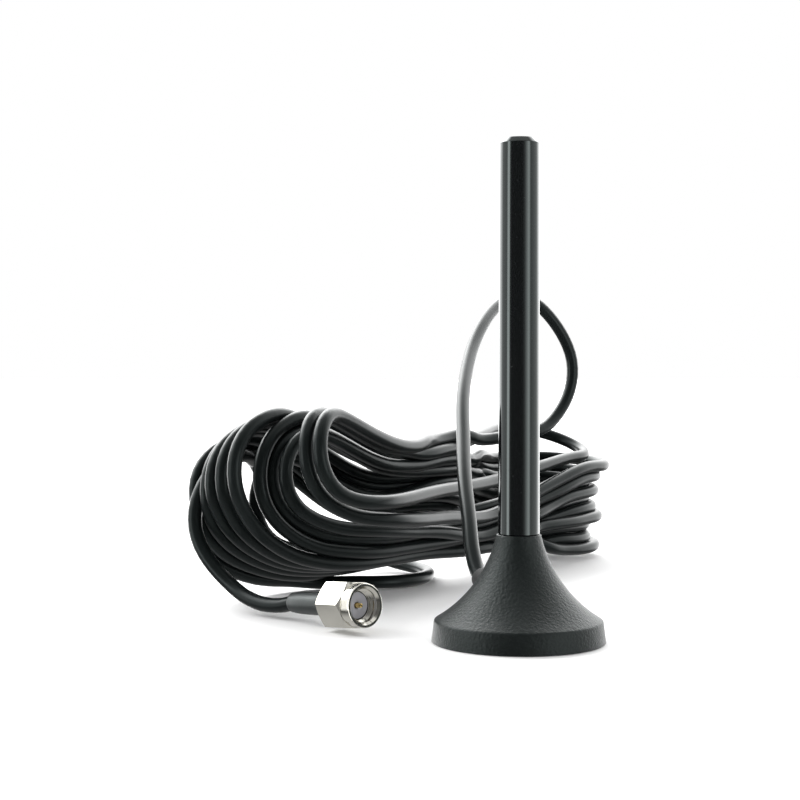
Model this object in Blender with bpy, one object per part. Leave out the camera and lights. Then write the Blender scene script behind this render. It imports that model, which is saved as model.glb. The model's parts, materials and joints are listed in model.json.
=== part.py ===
"""Magnet-mount cellular antenna with a coiled coax lead and a threaded coaxial plug.

Metres, +Z up. The origin is the centre of the base's underside. The mast stands on the Z axis.
Run with: blender --background --python part.py
"""
import math

import bmesh
import bpy
from mathutils import Vector

MM = 0.001
GAP = 0.3 * MM            # between pieces that touch
FINE_GAP = 0.15 * MM      # between the small pieces of the plug and the gland
ROUND = 40                # sides of the large turned pieces
SMALL_ROUND = 24          # sides of the small turned pieces

# Base
BASE_R = 15.0 * MM        # foot of the rim band
BAND_HEIGHT = 3.7 * MM
BAND_DRAFT = 0.45 * MM    # how much the band narrows to its top
SHELL_FOOT_Z = 0.1 * MM   # the pad stands this much proud of the shell
NECK_Z = 18.4 * MM        # top of the flared shell
NECK_R = 3.8 * MM
FLARE_R = 22.8 * MM       # radius of the hollow flare between neck and band
SHELL_WALL = 1.6 * MM
EDGE_R = 0.5 * MM
PAD_THICKNESS = 0.7 * MM
PAD_MARGIN = 1.4 * MM     # from the pad's edge to the foot's edge
CUP_MARGIN = 4.0 * MM     # from the cup's side to the foot's edge
CUP_HEIGHT = 3.4 * MM
CUP_WALL = 1.2 * MM
CUP_ROOF = 0.9 * MM
PLATE_INSET = 3.0 * MM    # from the plate's edge to the cup's side
PLATE_THICKNESS = 0.5 * MM

# Mast
MAST_FOOT_R = 3.55 * MM
MAST_TOP_R = 3.41 * MM
MAST_TOP_Z = 86.0 * MM
MAST_CHAMFER = 0.85 * MM
MAST_ROOF = 1.8 * MM
HUB_R = 2.15 * MM
HUB_BORE_R = 1.45 * MM
HUB_FLANGE_R = 3.0 * MM
HUB_FLANGE = 1.2 * MM
HUB_FOOT_Z = 12.4 * MM
HUB_ABOVE_NECK = 7.6 * MM
ROD_R = 0.45 * MM
ROD_FOOT_Z = 9.4 * MM
INSULATOR_FOOT_Z = 11.0 * MM
SPACER_HEIGHT = 2.0 * MM
CHOKE_LENGTH = 24.0 * MM
CHOKE_WALL = 0.4 * MM
TIP_BEAD_R = 1.2 * MM
TIP_BEAD_HEIGHT = 2.0 * MM

# Coax and its way out of the base
CABLE_R = 1.4 * MM
DIELECTRIC_R = 0.75 * MM
WIRE_R = 0.25 * MM
EXIT_TURN = math.radians(118.0)
EXIT_TILT = math.radians(20.0)
GLAND_WALL = 0.65 * MM    # of rubber round the coax, in the shell
GLAND_TIP_WALL = 0.25 * MM
GLAND_INSIDE = 2.3 * MM
GLAND_OUTSIDE = 4.0 * MM
STUB_LENGTH = 2.0 * MM
WIRE_LEAD = 1.2 * MM      # how far the feed wire runs straight at each end
CLAMP_WALL = 0.35 * MM
CLAMP_WIDTH = 0.9 * MM

# Coaxial plug: places along its axis are measured back from the mouth of the nut
PLUG_PLACE = Vector((-26.4, 5.0, 0.0)) * MM
PLUG_LIFT = 1.35 * MM     # what the tilt adds to the height of the mouth above the nut's flat
PLUG_TURN = math.radians(-50.0)
PLUG_TILT = math.radians(5.0)
NUT_FLATS = 8.0 * MM
NUT_RING_STEP = 0.1 * MM  # from a flat down to the round collar in front of the hexagon
NUT_RING_LENGTH = 2.2 * MM
NUT_LEAD_IN = 0.45 * MM
NUT_CHAMFER = 0.4 * MM    # at the hexagon's corners, both ends
NUT_EDGE = 0.15 * MM      # fillet of the collar's front edge
NUT_LENGTH = 8.8 * MM
NUT_THREAD_R = 2.95 * MM
NUT_THREAD_DEPTH = 5.4 * MM
NUT_PLAY = 0.2 * MM       # between the nut's rear bore and the body
NUT_ROLL = math.radians(24.0)
CLIP_BITE = 0.25 * MM     # how far the ring that keeps the nut on the body sinks into the nut
CLIP_THICKNESS = 0.5 * MM
CLIP_DEPTH = 0.6 * MM     # how far it sinks into the body
CLIP_SLOT = 0.8 * MM
CLIP_FROM_MOUTH = 6.6 * MM
BODY_FROM_MOUTH = 2.5 * MM
BODY_SLEEVE_R = 2.3 * MM
BODY_BORE_R = 2.1 * MM
BODY_BARREL_R = 2.4 * MM
BODY_LENGTH = 6.4 * MM
CRIMP_NECK_R = 1.25 * MM
CRIMP_NECK_LENGTH = 2.6 * MM
SOCKET_WALL = 0.25 * MM   # between the insulator and the ring's groove
INSULATOR_LENGTH = 5.6 * MM
PIN_R = 0.46 * MM
PIN_TIP_R = 0.25 * MM
PIN_TAPER = 0.5 * MM
PIN_FROM_MOUTH = 1.1 * MM
PIN_LENGTH = 8.4 * MM
GASKET_LENGTH = 2.4 * MM
GASKET_WIDTH = 0.35 * MM
CORE_REACH = 2.0 * MM     # of the coax's dielectric, past the crimp neck
FERRULE_WALL = 0.35 * MM
FERRULE_LENGTH = 5.4 * MM
SHRINK_WALL = 0.25 * MM
SHRINK_LENGTH = 12.0 * MM
SHRINK_TAPER = 1.6 * MM

# Hank: the two ends of the wound lead, on the surface that the base stands on
HANK_NEAR = Vector((-39.4, 40.9, 0.0)) * MM
HANK_FAR = Vector((14.6, 120.6, 0.0)) * MM
HANK_NEAR_R = 20.0 * MM
HANK_FAR_R = 14.75 * MM
HANK_WAIST = (3.0 * MM, 31.0 * MM)        # lowest and highest level at the waist
HANK_NEAR_SIDES = (-24.0 * MM, 21.0 * MM)  # how far the fanned near end reaches to each side of the middle
HANK_FAR_SIDES = (-13.5 * MM, 13.5 * MM)
ARC_STEPS = 9
WAIST_STEPS = 8

# Routes of the lead from the gland to the hank and from the plug to the hank, chosen by hand, in millimetres
LEAD_ROUTE = [
    (-7.25, 15.9, 13.5), (-7.5, 20.9, 17.7), (-8.0, 31.9, 25.3), (-7.8, 44.4, 32.9), (-7.3, 57.9, 40.9),
    (-4.8, 75.4, 50.2), (-1.5, 86.9, 56.4), (2.1, 95.9, 60.4), (7.9, 104.8, 62.9), (13.5, 110.2, 60.0),
    (18.4, 112.4, 53.9), (21.2, 113.4, 46.2), (19.3, 111.9, 38.3), (15.1, 107.4, 33.0), (12.2, 103.9, 31.5),
]
TAIL_ROUTE = [(-42.4, 23.3, 2.6), (-46.4, 26.8, 2.4), (-50.0, 30.4, 3.4), (-50.8, 31.4, 3.8)]
LEAD_POINTS = 44
TAIL_POINTS = 10

# What the sizes above lead to
GLAND_AXIS = Vector((math.cos(EXIT_TURN), math.sin(EXIT_TURN), math.tan(EXIT_TILT))).normalized()
PLUG_AXIS = Vector((math.cos(PLUG_TURN), math.sin(PLUG_TURN), math.tan(PLUG_TILT))).normalized()
BAND_TOP_R = BASE_R - BAND_DRAFT
CUP_R = BASE_R - CUP_MARGIN
PLATE_R = CUP_R - PLATE_INSET
PAD_R = BASE_R - PAD_MARGIN
CUP_FOOT_Z = PAD_THICKNESS + GAP
CUP_TOP_Z = CUP_FOOT_Z + CUP_HEIGHT
PLATE_Z = CUP_TOP_Z + GAP
NECK_BORE_R = HUB_R + GAP
HUB_TOP_Z = NECK_Z + HUB_ABOVE_NECK
INSULATOR_TOP_Z = HUB_TOP_Z + SPACER_HEIGHT
CHOKE_FOOT_Z = INSULATOR_TOP_Z + SPACER_HEIGHT + 2 * GAP
CHOKE_TOP_Z = CHOKE_FOOT_Z + CHOKE_LENGTH
MAST_CEILING_Z = MAST_TOP_Z - MAST_ROOF
NECK_CORNER = Vector((NECK_R, 0.0, NECK_Z))
BAND_CORNER = Vector((BAND_TOP_R, 0.0, BAND_HEIGHT))
GLAND_BORE_R = CABLE_R + FINE_GAP
GLAND_R = GLAND_BORE_R + GLAND_WALL
GLAND_TIP_R = GLAND_BORE_R + GLAND_TIP_WALL
GLAND_DROP = GLAND_R * math.cos(EXIT_TILT) + GLAND_INSIDE * math.sin(EXIT_TILT)
EXIT_Z = PLATE_Z + PLATE_THICKNESS + FINE_GAP + GLAND_DROP   # where the gland's axis meets the flare
PLUG_MOUTH = PLUG_PLACE + Vector((0.0, 0.0, NUT_FLATS / 2 + PLUG_LIFT))
NUT_RING_R = NUT_FLATS / 2 - NUT_RING_STEP
NUT_REAR_R = BODY_BARREL_R + NUT_PLAY
CLIP_R = NUT_REAR_R + CLIP_BITE
INSULATOR_REAR_R = BODY_BARREL_R - CLIP_DEPTH - SOCKET_WALL - FINE_GAP


def clear_scene():
    for item in list(bpy.data.objects):
        bpy.data.objects.remove(item, do_unlink=True)


def finish(name, colour, roughness, metallic=0.0):
    material = bpy.data.materials.new(name)
    material.use_nodes = True
    shader = material.node_tree.nodes["Principled BSDF"]
    shader.inputs["Base Color"].default_value = (*colour, 1.0)
    shader.inputs["Roughness"].default_value = roughness
    shader.inputs["Metallic"].default_value = metallic
    material.diffuse_color = (*colour, 1.0)
    return material


def add_mesh(name, mesh_data, material, parent=None):
    """Link a bmesh as a named, smooth-shaded object."""
    bmesh.ops.remove_doubles(mesh_data, verts=mesh_data.verts, dist=1e-7)
    bmesh.ops.recalc_face_normals(mesh_data, faces=mesh_data.faces)
    mesh = bpy.data.meshes.new(name)
    mesh_data.to_mesh(mesh)
    mesh_data.free()
    mesh.shade_smooth()
    mesh.set_sharp_from_angle(angle=math.radians(35.0))
    thing = bpy.data.objects.new(name, mesh)
    bpy.context.collection.objects.link(thing)
    thing.data.materials.append(material)
    thing.parent = parent
    return thing


def add_guide(name, place, axis):
    """An empty whose Z runs along an axis, to carry the pieces that are turned about it."""
    guide = bpy.data.objects.new(name, None)
    guide.location = place
    guide.rotation_mode = "QUATERNION"
    guide.rotation_quaternion = axis.to_track_quat("Z", "Y")
    bpy.context.collection.objects.link(guide)
    return guide


def rounded(outline, radii):
    """An outline of (radius, height) points with some of its corners filleted, by index."""
    points = []
    for index, corner in enumerate(outline):
        if index not in radii:
            points.append(corner)
            continue
        here = Vector(corner)
        before = (Vector(outline[index - 1]) - here).normalized()
        after = (Vector(outline[(index + 1) % len(outline)]) - here).normalized()
        half = before.angle(after) / 2
        reach = radii[index] / math.tan(half)
        centre = here + (before + after).normalized() * radii[index] / math.sin(half)
        start = here + before * reach - centre
        end = here + after * reach - centre
        for step in range(4):
            points.append(tuple(centre + start.slerp(end, step / 3) * radii[index]))
    return points


def turned(name, outline, material, parent=None, sides=SMALL_ROUND):
    """A solid of revolution about Z from a closed outline of (radius, height) points."""
    mesh_data = bmesh.new()
    corners = [mesh_data.verts.new((radius, 0.0, height)) for radius, height in outline]
    edges = [mesh_data.edges.new((a, b)) for a, b in zip(corners, corners[1:] + corners[:1])]
    bmesh.ops.spin(
        mesh_data, geom=corners + edges, cent=(0, 0, 0), axis=(0, 0, 1), angle=math.tau, steps=sides)
    bmesh.ops.remove_doubles(mesh_data, verts=mesh_data.verts, dist=1e-7)
    on_axis = [edge for edge in mesh_data.edges if not edge.link_faces]
    bmesh.ops.delete(mesh_data, geom=on_axis, context="EDGES")
    return add_mesh(name, mesh_data, material, parent)


def ring(inner, outer, low, high):
    return [(inner, high), (outer, high), (outer, low), (inner, low)]


def disc(outer, low, high):
    return ring(0.0, outer, low, high)


def cut(thing, cutter, operation="DIFFERENCE"):
    cutter.hide_render = True
    cutter.display_type = "WIRE"
    boolean = thing.modifiers.new(operation.lower(), "BOOLEAN")
    boolean.operation = operation
    boolean.object = cutter


def flare_centre():
    """Centre, in the profile plane, of the hollow arc from the neck to the band."""
    chord = BAND_CORNER - NECK_CORNER
    outward = Vector((-chord.z, 0.0, chord.x)).normalized()
    half = chord.length / 2
    return (NECK_CORNER + BAND_CORNER) / 2 + outward * math.sqrt(FLARE_R ** 2 - half ** 2)


def flare_radius_at(height, inset=0.0):
    """Distance from the mast's axis to the flare, or to the surface a wall inside it."""
    centre = flare_centre()
    return centre.x - math.sqrt((FLARE_R + inset) ** 2 - (height - centre.z) ** 2)


def flare_height_at(radius, inset=0.0):
    centre = flare_centre()
    return centre.z - math.sqrt((FLARE_R + inset) ** 2 - (centre.x - radius) ** 2)


def flare(top, bottom, steps, inset=0.0):
    """Points down the flare between two heights, even in angle."""
    centre = flare_centre()
    reach = FLARE_R + inset
    first = math.asin((centre.z - top) / reach)
    last = math.asin((centre.z - bottom) / reach)
    angles = [first + (last - first) * step / steps for step in range(steps + 1)]
    return [(centre.x - reach * math.cos(angle), centre.z - reach * math.sin(angle)) for angle in angles]


def gland_point(outward):
    """A point on the gland's axis, this far outside the flare."""
    radius = flare_radius_at(EXIT_Z)
    mouth = Vector((radius * math.cos(EXIT_TURN), radius * math.sin(EXIT_TURN), EXIT_Z))
    return mouth + GLAND_AXIS * outward


def make_base(plastic, rubber, steel, magnet, brass):
    cavity_r = CUP_R + GAP
    inner_top = flare_height_at(NECK_BORE_R, SHELL_WALL)
    outer_side = [(NECK_BORE_R, NECK_Z)] + flare(NECK_Z, BAND_HEIGHT, 12)
    foot = [(BASE_R, SHELL_FOOT_Z), (PAD_R + GAP, SHELL_FOOT_Z), (PAD_R + GAP, CUP_FOOT_Z),
            (cavity_r, CUP_FOOT_Z), (cavity_r, PLATE_Z)]
    inner_side = list(reversed(flare(inner_top, PLATE_Z, 8, SHELL_WALL)))
    outline = outer_side + foot + inner_side
    band_top = len(outer_side) - 1
    outline = rounded(outline, {1: EDGE_R / 2, band_top: EDGE_R, band_top + 1: EDGE_R / 2})
    shell = turned("base_shell", outline, plastic, sides=ROUND)
    hole_guide = add_guide("gland_hole_frame", gland_point(0.0), GLAND_AXIS)
    hole_outline = disc(GLAND_R + FINE_GAP, -GLAND_INSIDE - SHELL_WALL, GLAND_OUTSIDE)
    hole = turned("gland_hole_cutter", hole_outline, plastic, hole_guide)
    cut(shell, hole)
    turned("base_pad", disc(PAD_R, 0.0, PAD_THICKNESS), rubber, sides=ROUND)
    under_roof = CUP_TOP_Z - CUP_ROOF
    cup = [(0.0, CUP_TOP_Z), (CUP_R, CUP_TOP_Z), (CUP_R, CUP_FOOT_Z), (CUP_R - CUP_WALL, CUP_FOOT_Z),
           (CUP_R - CUP_WALL, under_roof), (0.0, under_roof)]
    turned("pole_cup", cup, steel, sides=ROUND)
    turned("magnet_disc", disc(CUP_R - CUP_WALL - GAP, CUP_FOOT_Z, under_roof - GAP), magnet, sides=ROUND)
    turned("ground_plate", disc(PLATE_R, PLATE_Z, PLATE_Z + PLATE_THICKNESS), brass, sides=ROUND)


def make_mast(gloss, brass, ptfe):
    foot_z = NECK_Z + GAP
    bore_r = NECK_BORE_R
    mast = [(0.0, MAST_TOP_Z), (MAST_TOP_R - MAST_CHAMFER, MAST_TOP_Z),
            (MAST_TOP_R, MAST_TOP_Z - MAST_CHAMFER), (MAST_FOOT_R, foot_z), (bore_r, foot_z),
            (bore_r, MAST_CEILING_Z), (0.0, MAST_CEILING_Z)]
    turned("mast_tube", rounded(mast, {3: EDGE_R / 3}), gloss, sides=ROUND)
    flange_top = HUB_FOOT_Z + HUB_FLANGE
    hub = [(HUB_BORE_R, HUB_TOP_Z), (HUB_R, HUB_TOP_Z), (HUB_R, flange_top), (HUB_FLANGE_R, flange_top),
           (HUB_FLANGE_R, HUB_FOOT_Z), (HUB_BORE_R, HUB_FOOT_Z)]
    turned("mast_hub", hub, brass)
    rod_fit = ROD_R + GAP
    sleeve_r = HUB_BORE_R - GAP
    turned("feed_insulator", ring(rod_fit, sleeve_r, INSULATOR_FOOT_Z, INSULATOR_TOP_Z), ptfe)
    bead_foot = MAST_CEILING_Z - GAP - TIP_BEAD_HEIGHT
    turned("radiator_rod", disc(ROD_R, ROD_FOOT_Z, bead_foot - GAP), brass)
    turned("tip_bead", disc(TIP_BEAD_R, bead_foot, bead_foot + TIP_BEAD_HEIGHT), brass)
    spacer_r = bore_r - GAP
    low = INSULATOR_TOP_Z + GAP
    turned("lower_spacer", ring(rod_fit, spacer_r, low, low + SPACER_HEIGHT), ptfe)
    turned("choke_sleeve", ring(spacer_r - CHOKE_WALL, spacer_r, CHOKE_FOOT_Z, CHOKE_TOP_Z), brass)
    middle = (CHOKE_FOOT_Z + CHOKE_TOP_Z - SPACER_HEIGHT) / 2
    inside_choke = spacer_r - CHOKE_WALL - GAP
    turned("sleeve_spacer", ring(rod_fit, inside_choke, middle, middle + SPACER_HEIGHT), ptfe)
    high = CHOKE_TOP_Z + GAP
    turned("upper_spacer", ring(rod_fit, spacer_r, high, high + SPACER_HEIGHT), ptfe)


def tube(name, points, radius, material, resolution=2):
    """A round tube with capped ends along a list of points."""
    curve = bpy.data.curves.new(name, "CURVE")
    curve.dimensions = "3D"
    curve.bevel_depth = radius
    curve.bevel_resolution = resolution
    curve.use_fill_caps = True
    spline = curve.splines.new("POLY")
    spline.points.add(len(points) - 1)
    for point, place in zip(spline.points, points):
        point.co = (*place, 1.0)
    thing = bpy.data.objects.new(name, curve)
    bpy.context.collection.objects.link(thing)
    curve.materials.append(material)
    return thing


def smooth_route(knots, count):
    """Points spaced along a centripetal Catmull-Rom curve through the knots."""
    ends = [knots[0] * 2 - knots[1]] + knots + [knots[-1] * 2 - knots[-2]]
    fine = []
    for p0, p1, p2, p3 in zip(ends, ends[1:], ends[2:], ends[3:]):
        t1 = (p1 - p0).length ** 0.5
        t2 = t1 + (p2 - p1).length ** 0.5
        t3 = t2 + (p3 - p2).length ** 0.5
        for step in range(12):
            t = t1 + (t2 - t1) * step / 12
            a1 = p0.lerp(p1, t / t1)
            a2 = p1.lerp(p2, (t - t1) / (t2 - t1))
            a3 = p2.lerp(p3, (t - t2) / (t3 - t2))
            b1 = a1.lerp(a2, t / t2)
            b2 = a2.lerp(a3, (t - t1) / (t3 - t1))
            fine.append(b1.lerp(b2, (t - t1) / (t2 - t1)))
    fine.append(knots[-1])
    reach = [0.0]
    for a, b in zip(fine, fine[1:]):
        reach.append(reach[-1] + (b - a).length)
    points = []
    segment = 0
    for index in range(count):
        wanted = reach[-1] * index / (count - 1)
        while segment < len(fine) - 2 and reach[segment + 1] < wanted:
            segment += 1
        share = (wanted - reach[segment]) / (reach[segment + 1] - reach[segment])
        points.append(fine[segment].lerp(fine[segment + 1], min(share, 1.0)))
    return points


def make_cable_entry(rubber, jacket, copper, brass):
    guide = add_guide("gland_frame", gland_point(0.0), GLAND_AXIS)
    boot = [(GLAND_BORE_R, GLAND_OUTSIDE), (GLAND_TIP_R, GLAND_OUTSIDE), (GLAND_R, 0.0),
            (GLAND_R, -GLAND_INSIDE), (GLAND_BORE_R, -GLAND_INSIDE)]
    turned("cable_gland", boot, rubber, guide)
    stub_start = GLAND_INSIDE + GAP
    stub_end = stub_start + STUB_LENGTH
    turned("coax_stub", disc(CABLE_R, -stub_end, -stub_start), jacket, guide)
    core_start = stub_end + GAP
    rod_foot = Vector((0.0, 0.0, ROD_FOOT_Z - GAP))
    feed = [gland_point(-core_start), gland_point(-core_start - WIRE_LEAD),
            rod_foot - Vector((0.0, 0.0, WIRE_LEAD)), rod_foot]
    tube("feed_wire", smooth_route(feed, 8), WIRE_R, copper)
    make_clamp(brass, stub_start)


def make_clamp(brass, stub_start):
    """An upright saddle clip over the coax end, standing on the ground plate, clear of the tilted gland."""
    inner = CABLE_R / math.cos(EXIT_TILT) + CLAMP_WIDTH / 2 * math.tan(EXIT_TILT) + FINE_GAP
    outer = inner + CLAMP_WALL
    middle = gland_point(-stub_start - outer * math.sin(EXIT_TILT) - CLAMP_WIDTH / 2)
    drop = middle.z - PLATE_Z - PLATE_THICKNESS - FINE_GAP
    arch = [(math.cos(math.pi * step / 8), math.sin(math.pi * step / 8)) for step in range(9)]
    outline = [(outer, -drop)] + [(x * outer, z * outer) for x, z in arch] + [(-outer, -drop)]
    outline += [(-inner, -drop)] + [(x * inner, z * inner) for x, z in reversed(arch)] + [(inner, -drop)]
    mesh_data = bmesh.new()
    corners = [mesh_data.verts.new((x, -CLAMP_WIDTH / 2, z)) for x, z in outline]
    face = mesh_data.faces.new(corners)
    pushed = bmesh.ops.extrude_face_region(mesh_data, geom=[face])["geom"]
    moved = [item for item in pushed if isinstance(item, bmesh.types.BMVert)]
    bmesh.ops.translate(mesh_data, verts=moved, vec=(0.0, CLAMP_WIDTH, 0.0))
    clamp = add_mesh("cable_clamp", mesh_data, brass)
    clamp.location = middle
    clamp.rotation_euler = (0.0, 0.0, EXIT_TURN - math.pi / 2)
    return clamp


def back(distance):
    """Height along the plug's guide of a place this far behind the mouth."""
    return -distance


def make_plug(nickel, gold, ptfe, silicone, shrink):
    guide = add_guide("plug_frame", PLUG_MOUTH, PLUG_AXIS)
    make_plug_body(guide, nickel, gold, ptfe)
    clip_inner = BODY_BARREL_R - CLIP_DEPTH + FINE_GAP
    clip_end = CLIP_FROM_MOUTH + CLIP_THICKNESS
    clip_outline = ring(clip_inner, CLIP_R, back(clip_end), back(CLIP_FROM_MOUTH))
    clip = turned("nut_retaining_ring", clip_outline, nickel, guide)
    slot_size = (CLIP_SLOT, CLIP_R, 4 * CLIP_THICKNESS)
    cut(clip, add_box("ring_gap_cutter", (0.0, CLIP_R, back(CLIP_FROM_MOUTH)), slot_size, nickel, guide))
    gasket_inner = BODY_SLEEVE_R + FINE_GAP
    gasket_back = NUT_THREAD_DEPTH - FINE_GAP
    turned(
        "nut_gasket", ring(gasket_inner, gasket_inner + GASKET_WIDTH, back(gasket_back),
                           back(gasket_back - GASKET_LENGTH)), silicone, guide)
    make_nut(guide, nickel)
    ferrule_front = BODY_FROM_MOUTH + BODY_LENGTH + FINE_GAP
    ferrule_inner = CRIMP_NECK_R + FINE_GAP
    ferrule_r = ferrule_inner + FERRULE_WALL
    ferrule_end = ferrule_front + FERRULE_LENGTH
    ferrule = ring(ferrule_inner, ferrule_r, back(ferrule_end), back(ferrule_front))
    turned("crimp_ferrule", ferrule, nickel, guide)
    shrink_front = ferrule_front
    shrink_end = shrink_front + SHRINK_LENGTH
    wide = max(ferrule_r, CABLE_R) + FINE_GAP
    narrow = CABLE_R + FINE_GAP
    sleeve = [(wide, back(shrink_front)), (wide + SHRINK_WALL, back(shrink_front)),
              (wide + SHRINK_WALL, back(shrink_end - SHRINK_TAPER)), (narrow + SHRINK_WALL, back(shrink_end)),
              (narrow, back(shrink_end)), (wide, back(shrink_end - SHRINK_TAPER))]
    turned("heat_shrink", sleeve, shrink, guide)
    return ferrule_end


def make_plug_body(guide, nickel, gold, ptfe):
    front = BODY_FROM_MOUTH
    rear = front + BODY_LENGTH
    step = NUT_THREAD_DEPTH
    groove_r = BODY_BARREL_R - CLIP_DEPTH
    socket_r = groove_r - SOCKET_WALL
    groove_front = CLIP_FROM_MOUTH - FINE_GAP
    groove_back = CLIP_FROM_MOUTH + CLIP_THICKNESS + FINE_GAP
    socket_end = front + INSULATOR_LENGTH + 2 * FINE_GAP
    core_r = DIELECTRIC_R + FINE_GAP
    neck_end = rear + CRIMP_NECK_LENGTH
    body = [
        (BODY_BORE_R, back(front)), (BODY_SLEEVE_R, back(front)), (BODY_SLEEVE_R, back(step)),
        (BODY_BARREL_R, back(step)), (BODY_BARREL_R, back(groove_front)), (groove_r, back(groove_front)),
        (groove_r, back(groove_back)), (BODY_BARREL_R, back(groove_back)), (BODY_BARREL_R, back(rear)),
        (CRIMP_NECK_R, back(rear)), (CRIMP_NECK_R, back(neck_end)), (core_r, back(neck_end)),
        (core_r, back(socket_end)), (socket_r, back(socket_end)), (socket_r, back(step)),
        (BODY_BORE_R, back(step)),
    ]
    turned("plug_body", body, nickel, guide)
    bore_r = PIN_R + FINE_GAP
    bead_back = front + FINE_GAP + INSULATOR_LENGTH
    bead = [(bore_r, back(front)), (BODY_BORE_R - FINE_GAP, back(front)),
            (BODY_BORE_R - FINE_GAP, back(step - FINE_GAP)), (INSULATOR_REAR_R, back(step - FINE_GAP)),
            (INSULATOR_REAR_R, back(bead_back)), (bore_r, back(bead_back))]
    turned("plug_insulator", bead, ptfe, guide)
    tip = PIN_FROM_MOUTH
    pin_end = tip + PIN_LENGTH
    pin = [(0.0, back(tip)), (PIN_TIP_R, back(tip)), (PIN_R, back(tip + PIN_TAPER)), (PIN_R, back(pin_end)),
           (0.0, back(pin_end))]
    turned("centre_pin", pin, gold, guide)
    core_front = pin_end + FINE_GAP
    turned("plug_coax_core", disc(DIELECTRIC_R, back(neck_end + CORE_REACH), back(core_front)), ptfe, guide)


def make_nut(guide, nickel):
    """A hexagon nut with a round collar: a turned blank cut to six sides by a prism."""
    half_flats = NUT_FLATS / 2
    corner_r = half_flats / math.cos(math.pi / 6)
    clip_space = CLIP_R + FINE_GAP
    clip_front = CLIP_FROM_MOUTH - FINE_GAP
    clip_back = CLIP_FROM_MOUTH + CLIP_THICKNESS + FINE_GAP
    outline = [
        (NUT_THREAD_R, back(NUT_LEAD_IN)), (NUT_THREAD_R + NUT_LEAD_IN, back(0.0)), (NUT_RING_R, back(0.0)),
        (NUT_RING_R, back(NUT_RING_LENGTH)), (corner_r, back(NUT_RING_LENGTH + NUT_CHAMFER)),
        (corner_r, back(NUT_LENGTH - NUT_CHAMFER)), (half_flats, back(NUT_LENGTH)),
        (NUT_REAR_R, back(NUT_LENGTH)),
        (NUT_REAR_R, back(clip_back)), (clip_space, back(clip_back)), (clip_space, back(clip_front)),
        (NUT_REAR_R, back(clip_front)), (NUT_REAR_R, back(NUT_THREAD_DEPTH)),
        (NUT_THREAD_R, back(NUT_THREAD_DEPTH)),
    ]
    nut = turned("coupling_nut", rounded(outline, {2: NUT_EDGE}), nickel, guide, sides=36)
    mesh_data = bmesh.new()
    bmesh.ops.create_cone(
        mesh_data, cap_ends=True, segments=6, radius1=corner_r, radius2=corner_r, depth=NUT_LENGTH * 2)
    prism = add_mesh("hexagon_cutter", mesh_data, nickel, guide)
    prism.rotation_euler.z = NUT_ROLL
    prism.location.z = back(NUT_LENGTH / 2)
    cut(nut, prism, "INTERSECT")


def add_box(name, centre, size, material, parent):
    mesh_data = bmesh.new()
    bmesh.ops.create_cube(mesh_data, size=1.0)
    bmesh.ops.scale(mesh_data, verts=mesh_data.verts, vec=size)
    box = add_mesh(name, mesh_data, material, parent)
    box.location = centre
    return box


def hank_outline():
    """Side view of the wound lead: two round ends and a waist, as (along, height) points."""
    length = (HANK_FAR - HANK_NEAR).length
    waist_low, waist_high = HANK_WAIST
    outline = []
    for step in range(ARC_STEPS + 1):
        angle = math.pi / 2 + math.pi * step / ARC_STEPS
        outline.append((HANK_NEAR_R * math.cos(angle), HANK_NEAR_R * (1 + math.sin(angle))))
    for step in range(1, WAIST_STEPS):
        dip = waist_low * (1 - math.cos(math.tau * step / WAIST_STEPS)) / 2
        outline.append((length * step / WAIST_STEPS, dip))
    for step in range(ARC_STEPS + 1):
        angle = -math.pi / 2 + math.pi * step / ARC_STEPS
        outline.append((length + HANK_FAR_R * math.cos(angle), HANK_FAR_R * (1 + math.sin(angle))))
    for step in range(1, WAIST_STEPS):
        share = 1 - step / WAIST_STEPS
        end_high = 2 * (HANK_NEAR_R if share < 0.5 else HANK_FAR_R)
        sink = (1 - math.cos(math.tau * share)) / 2
        outline.append((length * share, end_high + (waist_high - end_high) * sink))
    return outline


def make_cable(jacket, ferrule_end):
    along = (HANK_FAR - HANK_NEAR).normalized()
    across = Vector((along.y, -along.x, 0.0))
    up = Vector((0.0, 0.0, 1.0))
    mesh_data = bmesh.new()
    sides = []
    for near, far in zip(HANK_NEAR_SIDES, HANK_FAR_SIDES):
        slope = (far - near) / (HANK_FAR - HANK_NEAR).length
        corners = [
            mesh_data.verts.new(HANK_NEAR + along * reach + across * (near + slope * reach) + up * height)
            for reach, height in hank_outline()]
        face = mesh_data.faces.new(corners)
        sides.append(face)
    bmesh.ops.bridge_loops(mesh_data, edges=list(sides[0].edges) + list(sides[1].edges))
    add_mesh("cable_hank", mesh_data, jacket)
    start = gland_point(GLAND_OUTSIDE + GAP)
    route = [start] + [Vector(point) * MM for point in LEAD_ROUTE]
    tube("cable_lead", smooth_route(route, LEAD_POINTS), CABLE_R, jacket)
    leave = ferrule_end + GAP
    sleeve_mouth = leave + SHRINK_LENGTH - FERRULE_LENGTH + GAP
    route = [PLUG_MOUTH - PLUG_AXIS * leave, PLUG_MOUTH - PLUG_AXIS * sleeve_mouth]
    route += [Vector(point) * MM for point in TAIL_ROUTE]
    tube("cable_tail", smooth_route(route, TAIL_POINTS), CABLE_R, jacket)


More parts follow.
